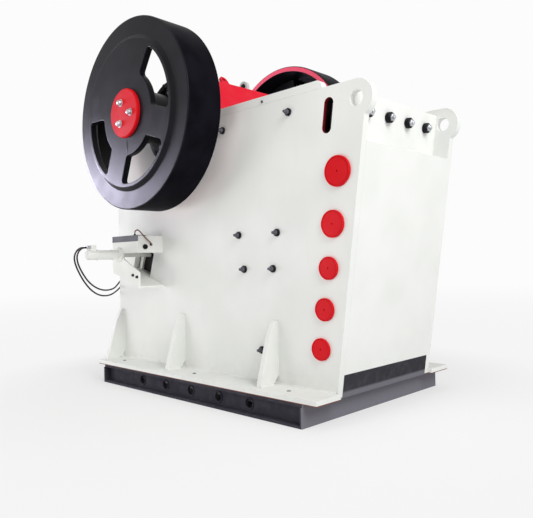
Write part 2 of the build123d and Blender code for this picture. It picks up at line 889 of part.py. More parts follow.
# Guard: a plate from the pitman's top edge, tangent to the barrel, with a lifting eye
guard_foot_x = moving_seat_x(pitman_top_z)
guard_foot_z = pitman_top_z + running_gap
to_crank_x = crank_x - guard_foot_x
to_crank_z = crank_z - guard_foot_z
guard_angle = atan2(to_crank_z, to_crank_x) - asin(
    (barrel_r + running_gap) / hypot(to_crank_x, to_crank_z)
)
with BuildPart() as guard:
    with BuildSketch(
        Plane(
            origin=(guard_foot_x, 0, guard_foot_z),
            x_dir=(0, 1, 0),
            z_dir=(sin(guard_angle), 0, -cos(guard_angle)),
        )
    ):
        with Locations((0, 0.5 * guard_length)):
            Rectangle(2 * pitman_half_width, guard_length)
        with Locations((guard_eye_y, guard_length + 0.5 * guard_eye_rise)):
            Rectangle(2 * guard_eye_r, guard_eye_rise)
        with Locations((guard_eye_y, guard_length + guard_eye_rise)):
            Circle(guard_eye_r)
            Circle(guard_eye_hole_r, mode=Mode.SUBTRACT)
    extrude(amount=guard_t)
save(guard, "pitman_guard")

# Toggle plate, toggle beam, adjusting wedges and rear frame, all on the toggle's axis
toggle_half_width = pitman_half_width - toggle_side_gap
with BuildPart() as toggle:
    with BuildSketch(toggle_plane(toggle_half_width)):
        with Locations((toggle_end_r, 0), (toggle_length - toggle_end_r, 0)):
            Circle(toggle_end_r)
        with Locations((0.5 * toggle_length, 0)):
            Rectangle(toggle_length - 2 * toggle_end_r, toggle_t)
    extrude(amount=2 * toggle_half_width)
save(toggle, "toggle_plate")

with BuildPart() as toggle_beam:
    with BuildSketch(toggle_plane(plate_in)):
        with Locations((0.5 * (toggle_end_r - beam_wedge_gap + front_of_wedges), 0)):
            Rectangle(beam_depth - beam_wedge_gap, beam_height)
        with Locations((toggle_end_r, 0)):
            Circle(toggle_end_r + running_gap, mode=Mode.SUBTRACT)
    extrude(amount=2 * plate_in)
save(toggle_beam, "toggle_beam")

# Two full-width wedges slide on each other between the toggle beam and the rear beam
wedge_across = window_height - 2 * window_clearance
wedge_half_width = plate_in - wedge_side_gap
wedge_start = on_toggle(0, -0.5 * wedge_across)
wedge_plane = Plane(
    origin=(wedge_start[0], 0, wedge_start[1]),
    x_dir=(toggle_dir[0], 0, toggle_dir[1]),
    z_dir=(-toggle_dir[1], 0, toggle_dir[0]),
)
wedge_thin = front_of_wedges - wedge_thin_share * wedge_depth
wedge_thick = front_of_wedges - (1 - wedge_thin_share) * wedge_depth
for name, flat_face in (
    ("adjusting_wedge_front", front_of_wedges),
    ("adjusting_wedge_rear", front_of_wedges - wedge_depth),
):
    with BuildPart() as wedge:
        with BuildSketch(wedge_plane):
            with BuildLine():
                Polyline(
                    (flat_face, -wedge_half_width),
                    (flat_face, wedge_half_width),
                    (wedge_thick, wedge_half_width),
                    (wedge_thin, -wedge_half_width),
                    close=True,
                )
            make_face()
        extrude(amount=wedge_across)
    save(wedge, name)

# Rear frame: a box beam between the side plates, with ribs inside
rear_beam_face = front_of_wedges - wedge_depth - rear_beam_depth
with BuildPart() as rear_frame:
    with BuildSketch(toggle_plane(plate_in)):
        with Locations((rear_beam_face + 0.5 * rear_beam_depth, 0)):
            Rectangle(rear_beam_depth, rear_beam_height)
            Rectangle(
                rear_beam_depth - 2 * rear_beam_wall,
                rear_beam_height - 2 * rear_beam_wall,
                mode=Mode.SUBTRACT,
            )
    extrude(amount=2 * plate_in)
    for rib_y in (-plate_in / 3, plate_in / 3):
        with BuildSketch(toggle_plane(rib_y + 0.5 * rear_beam_rib_t)):
            with Locations((rear_beam_face + 0.5 * rear_beam_depth, 0)):
                Rectangle(rear_beam_depth - rear_beam_wall, rear_beam_height - rear_beam_wall)
        extrude(amount=rear_beam_rib_t)
save(rear_frame, "rear_frame")

# Hydraulic wedge cylinders on brackets outside the windows. Each pushes the thick end of a wedge
cylinder_along = {
    "right": 0.5 * (wedge_thin + front_of_wedges - wedge_depth),
    "left": 0.5 * (wedge_thick + front_of_wedges),
}
bracket_end = plate_out + bracket_reach
cylinder_end = plate_out + cylinder_reach
port_face = cylinder_end - port_setback
shelf_across = -0.5 * window_height - bracket_wall
for side, sign in SIDES:
    cylinder_x, cylinder_z = on_toggle(cylinder_along[side], cylinder_lift)
    cylinder_axis = Axis((cylinder_x, 0, cylinder_z), (0, 1, 0))
    bracket_dx = cylinder_x - on_toggle(cylinder_along["right"], cylinder_lift)[0]
    rear_x = bracket_rear_x + bracket_dx
    front_edge_x = bracket_front_x + bracket_dx
    shelf_rear_z = toggle_rear[1] + (
        shelf_across + (rear_x - toggle_rear[0]) * toggle_dir[1]
    ) / toggle_dir[0]
    shelf_front_z = shelf_rear_z + (front_edge_x - rear_x) * toggle_dir[1] / toggle_dir[0]
    with BuildPart() as bracket:
        with BuildSketch(side_plane(sign, plate_out, bracket_end)):
            with BuildLine():
                Polyline(
                    (rear_x, bracket_top_z),
                    (front_edge_x, bracket_top_z),
                    (front_edge_x, bracket_top_z + bracket_top_t),
                    (rear_x, bracket_top_z + bracket_top_t),
                    close=True,
                )
            make_face()
            with BuildLine():
                Polyline(
                    (rear_x, shelf_rear_z),
                    (front_edge_x, shelf_front_z),
                    (front_edge_x, shelf_front_z + bracket_wall),
                    (rear_x, shelf_rear_z + bracket_wall),
                    close=True,
                )
            make_face()
        extrude(amount=bracket_reach)
        with BuildSketch(side_plane(sign, bracket_end - bracket_wall, bracket_end)):
            with BuildLine():
                Polyline(
                    (rear_x, shelf_rear_z),
                    (rear_x, bracket_top_z + bracket_top_t),
                    (front_edge_x, bracket_top_z + bracket_top_t),
                    (front_edge_x, cylinder_z + bracket_slot_above),
                    (cylinder_x + bracket_slot_reach, cylinder_z + bracket_slot_above),
                    (cylinder_x + bracket_slot_reach, cylinder_z - bracket_slot_below),
                    (front_edge_x, shelf_front_z + bracket_foot),
                    (front_edge_x, shelf_front_z),
                    close=True,
                )
            make_face()
            with Locations((cylinder_x, cylinder_z)):
                Circle(cylinder_r, mode=Mode.SUBTRACT)
        extrude(amount=bracket_wall)
        # Front web, from the top plate down to the slot in the cheek
        with BuildSketch(Plane.XY.offset(cylinder_z + bracket_slot_above)):
            with Locations((front_edge_x - 0.5 * bracket_wall, sign * (plate_out + bracket_end) / 2)):
                Rectangle(bracket_wall, bracket_reach)
        extrude(amount=bracket_top_z - cylinder_z - bracket_slot_above)
    save(bracket, f"cylinder_bracket_{side}")

    with BuildPart() as cylinder:
        with BuildSketch(
            Plane(origin=(cylinder_x, 0, cylinder_z), x_dir=(0, 1, 0), z_dir=(1, 0, 0))
        ):
            with BuildLine():
                Polyline(
                    (sign * wedge_half_width, 0),
                    (sign * wedge_half_width, rod_r),
                    (sign * (bracket_end - cylinder_head), rod_r),
                    (sign * (bracket_end - cylinder_head), cylinder_r),
                    (sign * bracket_end, cylinder_r),
                    (sign * bracket_end, cylinder_flange_r),
                    (sign * (bracket_end + cylinder_flange_t), cylinder_flange_r),
                    (sign * (bracket_end + cylinder_flange_t), cylinder_r),
                    (sign * (cylinder_end - cylinder_chamfer), cylinder_r),
                    (sign * cylinder_end, cylinder_r - cylinder_chamfer),
                    (sign * cylinder_end, 0),
                    close=True,
                )
            make_face()
        revolve(axis=cylinder_axis)
        with BuildSketch(side_plane(sign, port_face - port_length, port_face)):
            with Locations((cylinder_x, cylinder_z + cylinder_r + 0.5 * port_height - port_sink)):
                Rectangle(port_width, port_height)
        extrude(amount=port_length)
    save(cylinder, f"wedge_cylinder_{side}")

    with BuildPart() as caps:
        for cap_z, cap_r in zip(cap_heights, cap_radii):
            with BuildSketch(side_plane(sign, plate_out, plate_out + cap_t)):
                with Locations((front_x(cap_z) - cap_setback, cap_z)):
                    Circle(cap_r)
                    Circle(cap_screw_r, mode=Mode.SUBTRACT)
            extrude(amount=cap_t)
    save(caps, f"edge_caps_{side}")

# Manifold block on the rear frame, which the two hoses come up into
manifold_out = -plate_in + manifold_inset
with BuildPart() as manifold:
    with BuildSketch(toggle_plane(manifold_out + manifold_width)):
        with Locations(
            (
                rear_beam_face - 0.5 * manifold_depth,
                -manifold_along + 0.5 * manifold_height,
            )
        ):
            Rectangle(manifold_depth, manifold_height)
    extrude(amount=manifold_width)
save(manifold, "hose_manifold")


def hose_radii(route):
    """Largest tangent arc for each corner: 0.45 of the shorter run over tan of half the turn."""
    points = [Vector(*point) for point in route]
    radii = []
    for before, corner, after in zip(points, points[1:], points[2:]):
        half_turn = 0.5 * (corner - before).get_angle(after - corner)
        shorter = min((corner - before).length, (after - corner).length)
        radii.append(0.45 * shorter / tan(radians(half_turn)))
    return radii


for name, route in (("hose_lower", lower_hose_route), ("hose_upper", upper_hose_route)):
    radii = hose_radii(route)
    print(name, "radii", [round(radius) for radius in radii])
    with BuildPart() as hose:
        with BuildLine() as path:
            FilletPolyline(*route, radius=radii)
        with BuildSketch(Plane(origin=path.line @ 0, z_dir=path.line % 0)):
            Circle(hose_r)
        sweep()
    length = sum(edge.length for edge in path.edges())
    share = hose.part.volume / (length * pi * hose_r**2)
    print(name, "length", round(length), "volume over section times length", round(share, 4))
    save(hose, name)
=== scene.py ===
import json
from math import cos, hypot, pi, radians, sin, tan

import bmesh
import bpy
from mathutils import Matrix, Vector

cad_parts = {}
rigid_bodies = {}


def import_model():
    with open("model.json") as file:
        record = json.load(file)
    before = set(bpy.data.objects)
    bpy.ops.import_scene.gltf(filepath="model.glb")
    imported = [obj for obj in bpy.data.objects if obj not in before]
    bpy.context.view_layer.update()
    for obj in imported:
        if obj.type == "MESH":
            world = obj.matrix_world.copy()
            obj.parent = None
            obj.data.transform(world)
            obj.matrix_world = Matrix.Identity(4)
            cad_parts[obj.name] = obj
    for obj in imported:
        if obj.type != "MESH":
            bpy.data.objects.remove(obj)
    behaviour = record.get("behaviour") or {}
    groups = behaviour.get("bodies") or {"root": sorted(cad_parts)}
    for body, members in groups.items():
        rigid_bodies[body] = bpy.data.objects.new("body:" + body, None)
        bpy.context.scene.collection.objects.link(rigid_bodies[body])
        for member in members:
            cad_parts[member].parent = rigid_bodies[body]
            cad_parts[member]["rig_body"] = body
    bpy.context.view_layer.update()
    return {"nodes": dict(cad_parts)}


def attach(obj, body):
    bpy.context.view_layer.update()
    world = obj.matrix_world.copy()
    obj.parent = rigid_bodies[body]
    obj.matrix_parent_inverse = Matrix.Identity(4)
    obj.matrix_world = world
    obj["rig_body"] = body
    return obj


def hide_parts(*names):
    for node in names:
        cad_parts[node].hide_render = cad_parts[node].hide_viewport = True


# Jaw crusher: the finish of its plates, wheels, jaws and hoses, and its fasteners and pipes.
# Places are in metres in the part's own frame: +X is the front, -Y the right-hand side.

for default in list(bpy.data.objects):
    bpy.data.objects.remove(default)
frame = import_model()
nodes = frame["nodes"]
mm = 0.001
SIDES = (("right", -1), ("left", 1))

# Places of the solids that pieces here sit on or are coloured by
shaft_x = -0.440
shaft_z = 2.508
wheel_r = 0.842
wheel_back_out = 0.820
red_inner_r = 0.756
plate_out = 0.650
cheek_in = 0.550
foot_top = 0.212
base_front_x = 1.318
front_toe_x = 1.382
front_lean = radians(8.14)

# Camera
view = bpy.data.cameras.new("view")
view.lens = 39.94
view.sensor_width = 36
camera = bpy.data.objects.new("view", view)
camera.matrix_world = (
    Matrix.Translation((4.058, -4.055, 1.179))
    @ Matrix.Rotation(radians(44.44), 4, "Z")
    @ Matrix.Rotation(radians(90.277), 4, "X")
    @ Matrix.Rotation(radians(-1.184), 4, "Z")
)
bpy.context.scene.collection.objects.link(camera)
bpy.context.scene.camera = camera


# Finishes
def linear(colour):
    """Linear RGBA of an sRGB hex value."""
    channels = [int(colour[start : start + 2], 16) / 255 for start in (0, 2, 4)]
    return (*[c / 12.92 if c <= 0.04045 else ((c + 0.055) / 1.055) ** 2.4 for c in channels], 1)


def add_node(tree, kind, sockets, **settings):
    """A node with its settings, each socket set to a value or linked to an output."""
    made = tree.nodes.new(kind)
    for name, value in settings.items():
        setattr(made, name, value)
    for name, value in sockets.items():
        if isinstance(value, bpy.types.NodeSocket):
            tree.links.new(value, made.inputs[name])
        else:
            made.inputs[name].default_value = value
    return made


def start_finish(name):
    """A new material with its tree and its pieces' own coordinates, in metres."""
    finish = bpy.data.materials.new(name)
    finish.use_nodes = True
    tree = finish.node_tree
    tree.nodes.clear()
    return finish, tree, add_node(tree, "ShaderNodeTexCoord", {}).outputs["Object"]


def grain(tree, place, size_mm, detail=3.0, stretch=(1, 1, 1)):
    """Noise whose patches are about size_mm across, longer along an axis that stretch names."""
    stretched = add_node(
        tree,
        "ShaderNodeMapping",
        {"Vector": place, "Scale": tuple(1 / part for part in stretch)},
    )
    return add_node(
        tree,
        "ShaderNodeTexNoise",
        {"Vector": stretched.outputs[0], "Scale": 1 / (size_mm * mm), "Detail": detail},
    ).outputs["Fac"]


def between(tree, amount, low, high, to_low=0.0, to_high=1.0):
    """The amount spread from low..high over to_low..to_high, and held there."""
    return add_node(
        tree,
        "ShaderNodeMapRange",
        {0: amount, 1: low, 2: high, 3: to_low, 4: to_high},
        interpolation_type="SMOOTHSTEP",
    ).outputs[0]


def calculated(tree, operation, *amounts):
    """The result of one sum on one or two amounts."""
    return add_node(
        tree, "ShaderNodeMath", dict(enumerate(amounts)), operation=operation
    ).outputs[0]


def blended(tree, share, first, second):
    """The first colour going over to the second by a share."""
    return add_node(
        tree, "ShaderNodeMix", {0: share, 6: first, 7: second}, data_type="RGBA"
    ).outputs[2]


def raised(tree, height, depth_mm, under=None):
    """A bump of a height from 0 to 1 that stands depth_mm proud."""
    sockets = {"Height": height, "Strength": 1.0, "Distance": depth_mm * mm}
    if under:
        sockets["Normal"] = under
    return add_node(tree, "ShaderNodeBump", sockets).outputs[0]


def end_finish(tree, sockets):
    """Closes the material with one principled shader."""
    surface = add_node(tree, "ShaderNodeBsdfPrincipled", sockets)
    add_node(tree, "ShaderNodeOutputMaterial", {"Surface": surface.outputs[0]})


def sprayed_enamel(
    name,
    colour,
    worn,
    roughness,
    peel_mm,
    dust,
    dust_share,
    low_band=None,
    front_painted_light=None,
    ior=1.2,
):
    """Alkyd enamel sprayed on plate or casting. It gives a soft gloss with orange peel, tone that
    drifts over half a metre, and dust that settles towards the floor. A front tone paints the
    base's front face lighter, as painted light. A low band is another colour, the height of its top
    edge and half the width of its fade."""
    finish, tree, place = start_finish(name)
    parts = add_node(tree, "ShaderNodeSeparateXYZ", {0: place})
    height = parts.outputs[2]
    drift = between(tree, grain(tree, place, 520, 2.0), 0.3, 0.7, 0.0, 0.7)
    streaks = between(tree, grain(tree, place, 45, 4.0, (1, 1, 9)), 0.55, 0.8, 0.0, 0.3)
    tone = blended(tree, drift, linear(colour), linear(worn))
    tone = blended(tree, streaks, tone, linear(worn))
    low = between(tree, height, 0.1, 0.6, 1.0, 0.0)
    speckle = between(tree, grain(tree, place, 70, 5.0), 0.42, 0.7, 0.0, dust_share)
    settled = calculated(tree, "MULTIPLY", low, speckle)
    tone = blended(tree, settled, tone, linear(dust))
    if low_band:
        band_colour, band_top, band_fade = low_band
        band = between(tree, height, band_top - band_fade, band_top + band_fade, 1.0, 0.0)
        tone = blended(tree, band, tone, linear(band_colour))
    # Painted light: the base's front face is drawn lighter, as light falls on it more than on the
    # side
    if front_painted_light:
        front = between(tree, parts.outputs[0], base_front_x - 12 * mm, base_front_x - 4 * mm)
        tone = blended(tree, front, tone, linear(front_painted_light))
    # Real orange peel is about 3 mm across. It is drawn coarser, so that it shows.
    peel = grain(tree, place, peel_mm, 2.0)
    gloss = between(tree, grain(tree, place, 160), 0.35, 0.65, roughness - 0.05, roughness + 0.07)
    end_finish(
        tree,
        {
            "Base Color": tone,
            "Roughness": gloss,
            "IOR": ior,
            "Normal": raised(tree, peel, 0.5),
        },
    )
    return finish


def cast_steel(name, colour, worn, roughness, metallic, sand_mm, depth_mm, ior=1.5):
    """Sand-cast steel or iron: a pitted skin about as coarse as the moulding sand."""
    finish, tree, place = start_finish(name)
    sand = grain(tree, place, sand_mm, 6.0)
    patches = between(tree, grain(tree, place, 150, 4.0), 0.4, 0.62)
    end_finish(
        tree,
        {
            "Base Color": blended(tree, patches, linear(colour), linear(worn)),
            "Metallic": metallic,
            "IOR": ior,
            "Roughness": between(tree, sand, 0.3, 0.7, roughness - 0.08, roughness + 0.08),
            "Normal": raised(tree, sand, depth_mm),
        },
    )
    return finish


def machined_steel(name, colour, oil, roughness, line_mm, along):
    """Milled or turned steel with a thin film of oil: fine tool lines across the travel."""
    finish, tree, place = start_finish(name)
    lines = grain(tree, place, line_mm, 3.0, along)
    film = between(tree, grain(tree, place, 120, 3.0), 0.45, 0.65)
    end_finish(
        tree,
        {
            "Base Color": blended(tree, film, linear(colour), linear(oil)),
            "Metallic": 0.9,
            "Roughness": between(tree, lines, 0.3, 0.7, roughness - 0.06, roughness + 0.1),
            "Normal": raised(tree, lines, 0.15),
        },
    )
    return finish


white_paint = sprayed_enamel(
    "white_alkyd_enamel",
    "e9eae7",
    "e0e2de",
    0.64,
    14,
    "d6d5d0",
    0.25,
    low_band=("7a4a3c", 0.177, 0.0005),
)
red_paint = sprayed_enamel("red_alkyd_enamel", "d60e1a", "ca0c17", 0.6, 12, "b03a36", 0.25)
# Red darkened as painted shade, for the wall of the slot beside the jaw's clamp
shaded_red = sprayed_enamel("red_enamel_painted_shade", "6e0a12", "5a0810", 0.7, 12, "5a0810", 0.1)
# Black enamel of the base, with its front face painted lighter as painted light
base_black = sprayed_enamel(
    "black_frame_enamel", "35333b", "434149", 0.7, 14, "4d4b53", 0.4, front_painted_light="77767e", ior=1.12
)
# The guard's red is the caps' red drawn brighter, as painted light on its face
red_painted_light = sprayed_enamel("red_enamel_painted_light", "ed2138", "e81c32", 0.6, 12, "c8403f", 0.25)
# Sill black: dark above 212 mm as painted shade under the front frame's lower edge, paler below it
dust_and_shade_black = sprayed_enamel(
    "black_enamel_dust_and_painted_shade",
    "2b2a2f",
    "35343a",
    0.66,
    14,
    "55545a",
    0.3,
    low_band=("6c6b73", 0.212, 0.012),
)
fastener_black = sprayed_enamel("black_fastener_enamel", "131217", "201e24", 0.45, 8, "4a484e", 0.2)
bracket_grey = sprayed_enamel(
    "pale_bracket_enamel", "edeeea", "e4e5e1", 0.75, 10, "c5c4be", 0.3, ior=1.1
)
strip_grey = sprayed_enamel("dark_grey_strip_enamel", "626369", "74757b", 0.8, 10, "9a9a9c", 0.3)
nut_grey = sprayed_enamel(
    "grey_phosphated_nut", "57565d", "6b6a72", 0.6, 8, "9a9a9c", 0.2, ior=1.12
)
pitman_grey = sprayed_enamel("pale_casting_enamel", "dcdddb", "cbccca", 0.45, 16, "b5b4ae", 0.3)
pipe_brown = sprayed_enamel("brown_pipe_enamel", "6b4642", "805a55", 0.4, 6, "8a7a74", 0.3)
housing_iron = cast_steel("black_painted_cast_iron", "1b1c20", "2a2a2e", 0.5, 0.1, 9, 0.6)
manganese_steel = cast_steel("cast_manganese_steel", "4c4a47", "6a6259", 0.5, 0.75, 8, 0.9)
# Black grease on the toggle parts and wedges. The same near-black skin inside the slots is painted
# shade.
grease_and_shade_black = cast_steel("black_greased_steel", "0c0b0a", "1a1714", 0.62, 0.0, 9, 0.3, 1.1)
milled_steel = machined_steel("milled_steel", "8d8f92", "6d6a63", 0.36, 7, (1, 12, 1))
shaft_steel = machined_steel("oiled_turned_steel", "3c3d40", "28282b", 0.36, 6, (1, 1, 1))
zinc_steel = machined_steel("zinc_plated_steel", "c3c6ca", "a6a8ab", 0.3, 5, (1, 1, 1))


def wheel_enamel(name, ior):
    """Black enamel on a cast flywheel, whose inner rim edge is masked and sprayed red. The red is
    drawn pale pink, as a painted highlight.
    """
    finish, tree, place = start_finish(name)
    parts = add_node(tree, "ShaderNodeSeparateXYZ", {0: place})
    off_x = calculated(tree, "ADD", parts.outputs[0], -shaft_x)
    off_z = calculated(tree, "ADD", parts.outputs[2], -shaft_z)
    flat = add_node(tree, "ShaderNodeCombineXYZ", {0: off_x, 1: 0.0, 2: off_z}).outputs[0]
    radius = add_node(
        tree, "ShaderNodeVectorMath", {0: flat}, operation="LENGTH"
    ).outputs["Value"]
    out = calculated(tree, "ABSOLUTE", parts.outputs[1])
    # The masked ring's pale pink is red with a painted highlight
    inner_edge = between(tree, out, wheel_back_out + 0.4 * mm, wheel_back_out + mm, 1.0, 0.0)
    rim = between(tree, radius, red_inner_r - mm, red_inner_r + mm)
    masked = calculated(tree, "MULTIPLY", inner_edge, rim)
    drift = between(tree, grain(tree, place, 300, 3.0), 0.35, 0.65)
    tone = blended(tree, drift, linear("0f0e13"), linear("17161c"))
    # Turning marks on the rim, a few millimetres apart, are drawn 12 mm apart.
    turning = add_node(
        tree,
        "ShaderNodeTexNoise",
        {"W": radius, "Scale": 1 / (12 * mm), "Detail": 2.0},
        noise_dimensions="1D",
    ).outputs["Fac"]
    skin = raised(tree, grain(tree, place, 16, 3.0), 0.5, raised(tree, turning, 0.12))
    end_finish(
        tree,
        {
            "Base Color": blended(tree, masked, tone, linear("ff6380")),
            "Roughness": between(tree, grain(tree, place, 140), 0.35, 0.65, 0.31, 0.38),
            "IOR": ior,
            "Normal": skin,
        },
    )
    return finish


def hose_rubber_finish():
    """Extruded nitrile rubber over braid: matt, with a faint brown bloom."""
    finish, tree, place = start_finish("hydraulic_hose_rubber")
    bloom = between(tree, grain(tree, place, 60, 4.0), 0.45, 0.7)
    end_finish(
        tree,
        {
            "Base Color": blended(tree, bloom, linear("17161a"), linear("35262a")),
            "Roughness": between(tree, grain(tree, place, 20), 0.3, 0.7, 0.5, 0.65),
            "Normal": raised(tree, grain(tree, place, 5, 2.0), 0.2),
        },
    )
    return finish


wheel_black = wheel_enamel("black_wheel_enamel", 1.2)
# Belt dust has dulled the rim, so that it hardly mirrors at a low angle
belt_race_black = wheel_enamel("dull_belt_race_enamel", 1.04)
hose_rubber = hose_rubber_finish()
finishes = {
    "white_paint": white_paint,
    "red_paint": red_paint,
    "black_steel": base_black,
    "grey_paint": bracket_grey,
    "pitman_paint": pitman_grey,
    "housing_iron": housing_iron,
    "manganese_steel": manganese_steel,
    "machined_steel": milled_steel,
    "shaft_steel": shaft_steel,
    "wheel_black": wheel_black,
    "hose_rubber": hose_rubber,
}
own_finish = {
    "toggle_plate": grease_and_shade_black,
    "toggle_beam": grease_and_shade_black,
    "toggle_seat": grease_and_shade_black,
    "adjusting_wedge_front": grease_and_shade_black,
    "adjusting_wedge_rear": grease_and_shade_black,
    "front_sill": dust_and_shade_black,
    "pitman_guard": red_painted_light,
}
slot_of = {
    name: node.material_slots[0].material.name.split(".")[0] for name, node in nodes.items()
}
for name, node in nodes.items():
    for socket in node.material_slots:
        socket.material = own_finish.get(name, finishes[slot_of[name]])


# Making pieces
def as_mesh(name, bm):
    """The bmesh as a new mesh."""
    mesh = bpy.data.meshes.new(name)
    bm.to_mesh(mesh)
    bm.free()
    return mesh


def flattened(mesh):
    """Normals weighted by area, so that broad faces stay flat beside their eased corners."""
    weighted = [Vector() for _ in mesh.vertices]
    for face in mesh.polygons:
        for index in face.vertices:
            weighted[index] += face.normal * face.area
    mesh.normals_split_custom_set_from_vertices([normal.normalized() for normal in weighted])


def fitted(name, bm, finish, body, sharp_deg=35):
    """The bmesh as a named piece on its body, smooth but for its sharp edges."""
    mesh = as_mesh(name, bm)
    mesh.materials.append(finish)
    mesh.shade_smooth()
    mesh.set_sharp_from_angle(angle=radians(sharp_deg))
    piece = bpy.data.objects.new(name, mesh)
    bpy.context.scene.collection.objects.link(piece)
    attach(piece, body)
    return piece


def round_off(bm, edges, width, segments, clamped=True):
    """Bevels edges to a round of a width in metres."""
    bmesh.ops.bevel(
        bm,
        geom=edges,
        offset=width,
        segments=segments,
        profile=0.5,
        affect="EDGES",
        material=-1,
        clamp_overlap=clamped,
    )


def drawn_out(bm, faces, travel):
    """Draws faces out along a travel, and gives the corners of their far end."""
    risen = bmesh.ops.extrude_face_region(bm, geom=faces)["geom"]
    far_end = [part for part in risen if isinstance(part, bmesh.types.BMVert)]
    bmesh.ops.translate(bm, vec=travel, verts=far_end)
    return far_end


def turned(profile, segments):
    """Mesh of (radius, height) points in metres spun once round +Z."""
    bm = bmesh.new()
    points = [bm.verts.new((radius, 0, height)) for radius, height in profile]
    edges = [bm.edges.new(pair) for pair in zip(points, points[1:])]
    bmesh.ops.spin(
        bm,
        geom=points + edges,
        axis=(0, 0, 1),
        cent=(0, 0, 0),
        angle=2 * pi,
        steps=segments,
        use_merge=True,
    )
    bmesh.ops.remove_doubles(bm, verts=bm.verts, dist=1e-6)
    bmesh.ops.recalc_face_normals(bm, faces=bm.faces)
    return as_mesh("turned", bm)


def hexagon(across, height, lift=0.0):
    """Mesh of a hexagonal nut or head with its upper corners eased."""
    bm = bmesh.new()
    bmesh.ops.create_circle(bm, cap_ends=True, segments=6, radius=0.5 * across / cos(pi / 6))
    bmesh.ops.translate(bm, vec=(0, 0, lift), verts=bm.verts)
    top = drawn_out(bm, bm.faces[:], (0, 0, height))
    rim = [edge for edge in bm.edges if all(end in top for end in edge.verts)]
    round_off(bm, rim, 0.09 * across, 3, clamped=False)
    bmesh.ops.recalc_face_normals(bm, faces=bm.faces)
    return as_mesh("hexagon", bm)


def extruded(name, section, travel, ease_mm, segments, finish, body):
    """A closed section drawn out along a travel, with its corners eased."""
    bm = bmesh.new()
    drawn_out(bm, [bm.faces.new([bm.verts.new(point) for point in section])], travel)
    bmesh.ops.recalc_face_normals(bm, faces=bm.faces)
    corners = [edge for edge in bm.edges if edge.calc_face_angle(0) > radians(40)]
    round_off(bm, corners, ease_mm * mm, segments)
    return fitted(name, bm, finish, body)


def skin_rows(bm, rows, closed=False):
    """Faces between rows of points and over both ends. Closed rows go all the way round."""
    rows = [[bm.verts.new(point) for point in row] for row in rows]
    wide = len(rows[0])
    for before, after in zip(rows, rows[1:]):
        for part in range(wide if closed else wide - 1):
            following = (part + 1) % wide
            bm.faces.new((before[part], before[following], after[following], after[part]))
    bm.faces.new(rows[0])
    bm.faces.new(rows[-1][::-1])


def placed(name, shapes, finish, body):
    """One piece of several shapes, each a mesh and its place."""
    bm = bmesh.new()
    for shape, place in shapes:
        first = len(bm.verts)
        bm.from_mesh(shape)
        bm.verts.ensure_lookup_table()
        bmesh.ops.transform(bm, matrix=place, verts=bm.verts[first:])
    return fitted(name, bm, finish, body)


def repeated(name, shapes, places, finish, body):
    """One piece of the same shapes at several places."""
    everywhere = [(shape, place) for place in places for shape in shapes]
    return placed(name, everywhere, finish, body)


def on_side(sign, x, z, out):
    """Place on a side's face with +Z outwards."""
    return Matrix.Translation((x, sign * out, z)) @ Matrix.Rotation(-sign * pi / 2, 4, "X")


def ring_on_side(sign, x, z, out, radius, turns_deg):
    """Places round a centre on a side's face."""
    turns = [radians(turn) for turn in turns_deg]
    return [
        on_side(sign, x + radius * cos(turn), z + radius * sin(turn), out) for turn in turns
    ]


def front_edge_x(z):
    """X of the side plates' front edge at a height, in metres."""
    return front_toe_x + tan(front_lean) * z


# CAD pieces with eased edges
def eased(node_name, width_mm):
    """A merged copy of a node whose corners are broken by width_mm, as a grinder leaves them."""
    bm = bmesh.new()
    bm.from_mesh(nodes[node_name].data)
    bmesh.ops.remove_doubles(bm, verts=bm.verts, dist=1e-5)
    bmesh.ops.dissolve_limit(
        bm, angle_limit=radians(0.4), verts=bm.verts, edges=bm.edges, delimit={"NORMAL"}
    )
    corners = [
        edge
        for edge in bm.edges
        if len(edge.link_faces) == 2 and edge.calc_face_angle() > radians(30)
    ]
    round_off(bm, corners, width_mm * mm, 2)
    slot_name = slot_of[node_name]
    body = nodes[node_name]["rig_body"]
    piece = fitted(f"{node_name}_eased", bm, finishes[slot_name], body)
    flattened(piece.data)
    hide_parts(node_name)
    return piece


for side, _ in SIDES:
    wheel = eased(f"flywheel_{side}", 5).data
    wheel.materials.append(belt_race_black)
    for face in wheel.polygons:
        points = [wheel.vertices[index].co for index in face.vertices]
        inmost = min(hypot(point.x - shaft_x, point.z - shaft_z) for point in points)
        if inmost > wheel_r - 2 * mm:
            face.material_index = 1
    for part, width_mm in (
        ("side_plate", 3),
        ("top_rail", 3),
        ("foot", 3),
        ("gussets", 3),
        ("base_beam", 2),
        ("cylinder_bracket", 2),
    ):
        eased(f"{part}_{side}", width_mm)
eased("front_frame", 3)

# Hydraulic hoses, on the routes in millimetres that their solids follow, and their end fittings
lower_hose_route = (
    (-1052, -1248, 1350),
    (-1052, -1293, 1350),
    (-1053, -1338, 1340),
    (-1056, -1371, 1307),
    (-1061, -1386, 1259),
    (-1074, -1370, 1195),
    (-1114, -1306, 1100),
    (-1170, -1218, 1005),
    (-1240, -1108, 925),
    (-1318, -985, 876),
    (-1398, -858, 862),
    (-1478, -745, 872),
    (-1545, -648, 902),
    (-1582, -565, 952),
    (-1572, -503, 1018),
    (-1530, -485, 1080),
    (-1491, -485, 1132),
    (-1469, -485, 1199.4),
)
upper_hose_route = (
    (-1008, -1248, 1350),
    (-1008, -1293, 1350),
    (-1009, -1337, 1340),
    (-1012, -1369, 1307),
    (-1018, -1382, 1258),
    (-1034, -1362, 1192),
    (-1078, -1294, 1105),
    (-1135, -1206, 1024),
    (-1210, -1095, 965),
    (-1290, -968, 928),
    (-1368, -845, 922),
    (-1440, -742, 935),
    (-1508, -668, 962),
    (-1555, -602, 1000),
    (-1554, -551, 1058),
    (-1523, -531, 1108),
    (-1489, -530, 1138),
    (-1469, -530, 1199.4),
)
